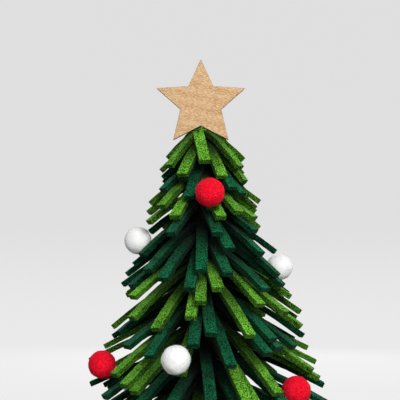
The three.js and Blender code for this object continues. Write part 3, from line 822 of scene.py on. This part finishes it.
def wooden_star():
    """The flat star: rows run from the middle of the back face out to its outline, round the edge and in
    over the front face. Each row is the outline, moved inwards along its corners' half angles and drawn
    towards the middle by a share, at a depth. The laser browns the cut sides."""
    corners = star_corners()
    low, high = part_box("star")
    way = unit(np.roll(corners, -1, axis=0) - corners)
    inward = np.stack([-way[:, 1], way[:, 0]], axis=-1)
    before = np.roll(inward, 1, axis=0)
    mitre = (inward + before) / (1 + (inward * before).sum(axis=1, keepdims=True))
    middle = corners.mean(axis=0)
    half = [(size, 1, 0) for size in STAR_FACE_ROWS]
    half += [(1, inset, depth) for inset, depth in STAR_EDGE_ROWS]
    size, inset, depth = (column[:, None, None] for column in np.array(half + half[::-1], float).T)
    moved = middle + (corners + mitre * STAR_EDGE * inset - middle) * size
    share = (np.arange(STAR_EDGE_POINTS) / STAR_EDGE_POINTS)[:, None]
    outline = moved[:, :, None] * (1 - share) + np.roll(moved, -1, axis=1)[:, :, None] * share
    outline = outline.reshape(len(size), -1, 2)
    behind = (np.arange(len(size)) < len(half))[:, None]
    across = np.where(behind, high.y - STAR_EDGE * depth[:, 0], low.y + STAR_EDGE * depth[:, 0])
    points = np.stack([outline[..., 0], across + 0 * outline[..., 0], outline[..., 1]], axis=-1)
    ends = np.array([[middle[0], high.y, middle[1]], [middle[0], low.y, middle[1]]])
    shade = np.where(inset[:, 0] < 1, SCORCHED_SHADE, 1.0) + 0 * outline[..., 0]
    shape = Shape()
    shape.add(np.concatenate([points.reshape(-1, 3), ends]), capped_faces(*points.shape[:2]),
              np.append(shade.ravel(), [1, 1]))
    shape.piece("flat_star", STAR_WOOD, "star_wood", "star")


def place_camera():
    """The photograph's camera, level with the tree's upper half and tilted up a little."""
    lens = bpy.data.cameras.new("camera")
    lens.sensor_width = SENSOR_WIDTH
    lens.lens = FOCAL_PIXELS / FRAME_PIXELS * SENSOR_WIDTH
    lens.clip_start = NEAREST_SEEN
    camera = bpy.data.objects.new("camera", lens)
    camera.location = CAMERA_PLACE
    camera.rotation_euler = (math.pi / 2 + CAMERA_TILT, 0, 0)
    bpy.context.scene.collection.objects.link(camera)
    bpy.context.scene.camera = camera


def soft_lamp(name, place, side, power):
    """A square soft lamp that shines from its place at the middle of the tree."""
    lamp = bpy.data.lights.new(name, "AREA")
    lamp.size = side
    lamp.energy = power
    holder = bpy.data.objects.new(name, lamp)
    holder.location = place
    way = np.array(LAMP_AIM) - np.array(place)
    tilt, turn = math.acos(-way[2] / np.linalg.norm(way)), math.atan2(way[1], way[0])
    holder.rotation_euler = (tilt, 0, turn - math.pi / 2)
    holder.visible_camera = False
    bpy.context.scene.collection.objects.link(holder)


def seen_directly(tree):
    """1 for a ray from the camera or one that metal or glass passes on, and 0 for the light's own rays."""
    path = add_node(tree, "ShaderNodeLightPath")
    passed = add_node(tree, "ShaderNodeMath", {
        0: path.outputs["Is Glossy Ray"], 1: path.outputs["Is Transmission Ray"]}, operation="ADD")
    seen = add_node(tree, "ShaderNodeMath", {0: path.outputs["Is Camera Ray"], 1: passed.outputs[0]},
                    operation="ADD", use_clamp=True)
    return seen.outputs[0]


def pale_matt_paper():
    """Pale matt paper. To the camera it is grey paper with a glow of its own, so that no horizon shows:
    the glow rises outwards over the floor, where the lamps reach less and less, and fades up the wall. To
    the light's own rays it is plain mid grey, so that the felt's undersides stay dark."""
    material, tree, surface, place = new_material("pale_matt_paper")
    paper = add_node(tree, "ShaderNodeBsdfDiffuse", {"Color": linear(PAPER_SEEN)})
    reach = add_node(tree, "ShaderNodeVectorMath", {0: place}, operation="LENGTH").outputs["Value"]
    rise = add_node(tree, "ShaderNodeMapRange", {
        "Value": reach, "From Min": GLOW_RISE_START, "From Max": FLOOR_RADIUS, "To Min": FLOOR_GLOW,
        "To Max": EDGE_GLOW}, interpolation_type="SMOOTHSTEP")
    height = add_node(tree, "ShaderNodeSeparateXYZ", {"Vector": place}).outputs["Z"]
    fade = add_node(tree, "ShaderNodeMapRange", {
        "Value": height, "From Max": GLOW_FADE, "To Min": rise.outputs["Result"], "To Max": WALL_GLOW},
        interpolation_type="SMOOTHSTEP")
    glow = add_node(tree, "ShaderNodeEmission", {
        "Color": linear("#ffffff"), "Strength": fade.outputs["Result"]})
    pale = add_node(tree, "ShaderNodeAddShader", {0: paper.outputs[0], 1: glow.outputs[0]})
    dim = add_node(tree, "ShaderNodeBsdfDiffuse", {"Color": linear(PAPER_BOUNCE)})
    shown = add_node(tree, "ShaderNodeMixShader", {
        0: seen_directly(tree), 1: dim.outputs[0], 2: pale.outputs[0]})
    tree.links.new(shown.outputs[0], surface)
    return material


def paper_bowl():
    """A seamless paper bowl: a flat round floor whose edge rises in a quarter circle to a wall, as a
    surface of revolution that is open at the top."""
    curve = np.radians(np.linspace(0, 90, BOWL_CURVE_ROWS))
    floor = np.stack([np.linspace(FLOOR_MIDDLE, FLOOR_RADIUS, FLOOR_ROWS), np.zeros(FLOOR_ROWS)], axis=-1)
    rise = np.stack([FLOOR_RADIUS + BOWL_CURVE * np.sin(curve), BOWL_CURVE * (1 - np.cos(curve))], axis=-1)
    profile = np.concatenate([floor, rise[1:], [(FLOOR_RADIUS + BOWL_CURVE, BOWL_HEIGHT)]])
    angle = np.arange(BOWL_SIDES) * 2 * math.pi / BOWL_SIDES
    points = np.stack([profile[:, :1] * np.cos(angle), profile[:, :1] * np.sin(angle),
                       profile[:, 1:] + 0 * angle], axis=-1)
    faces = band_faces(*points.shape[:2])[:, ::-1]
    mesh = bpy.data.meshes.new("paper_bowl")
    mesh.from_pydata(points.reshape(-1, 3).tolist(), [], faces.tolist() + [list(range(len(angle)))])
    mesh.polygons.foreach_set("use_smooth", np.ones(len(mesh.polygons), bool))
    bowl = bpy.data.objects.new("paper_bowl", mesh)
    bpy.context.scene.collection.objects.link(bowl)
    mesh.materials.append(pale_matt_paper())


def room_light():
    """The room round the bowl: a faint even light on the tree, and a pale backdrop to the camera."""
    world = bpy.data.worlds.new("studio")
    bpy.context.scene.world = world
    world.use_nodes = True
    tree = world.node_tree
    tree.nodes.clear()
    room = add_node(tree, "ShaderNodeBackground", {"Color": linear(ROOM_COLOUR), "Strength": ROOM_LIGHT})
    beyond = add_node(tree, "ShaderNodeBackground", {"Color": linear(BEYOND_COLOUR), "Strength": 1.0})
    shown = add_node(tree, "ShaderNodeMixShader", {
        0: seen_directly(tree), 1: room.outputs[0], 2: beyond.outputs[0]})
    add_node(tree, "ShaderNodeOutputWorld", {"Surface": shown.outputs[0]})


BRIGHT_FELT = pressed_wool_felt("bright_green_wool_felt", "#0c2a03", "#35780f", "#8bdd44")
DARK_FELT = pressed_wool_felt("dark_green_wool_felt", "#000f08", "#022b1b", "#178654")
RED_FELT = needle_felted_wool("red_needle_felted_wool", "#bc000c", "#ee0822", "#ff2846")
WHITE_FELT = needle_felted_wool("white_needle_felted_wool", "#eeeeed", "#f8f8f7", "#fdfdfc")
STAR_WOOD = bare_wood("laser_cut_birch", "#b0804f", "#d0ac80", "#dfc299", year=BIRCH_YEAR,
                      turn=(0, math.radians(-13), 0), pith=(0, 0.03, -0.3), figure=0.06)
BEECH = ("#9a6a3e", "#b98a5a", "#cfa274")
STEM_WOOD = bare_wood("turned_beech_along", *BEECH, year=BEECH_YEAR, turn=(0, math.radians(90), 0),
                      pith=(0, 0.004, 0.02), figure=0.15)
BASE_WOOD = bare_wood("turned_beech_across", *BEECH, year=BEECH_YEAR, turn=(0, 0, 0), pith=(0, 0.01, 0.05),
                      figure=0.15)
STEEL = zinc_plated_steel("zinc_plated_steel")
FELTS = {"felt_bright_green": BRIGHT_FELT, "felt_dark_green": DARK_FELT, "felt_red": RED_FELT,
         "felt_white": WHITE_FELT}

place_camera()
paper_bowl()
room_light()
for lamp in LAMPS:
    soft_lamp(*lamp)
slots = {part["node"]: part["material_slot"] for part in frame["record"]["subparts"]}
for number, (name, slot) in enumerate(sorted(slots.items()), 1):
    if name.startswith("felt_layer"):
        felt_ring(name, FELTS[slot], slot, SEED_STEP * number)
    elif name.startswith("ball"):
        felt_ball(name, FELTS[slot], slot, SEED_STEP * number)
wooden_star()
stem()
wood_screw()

bpy.context.scene.view_settings.view_transform = "Standard"
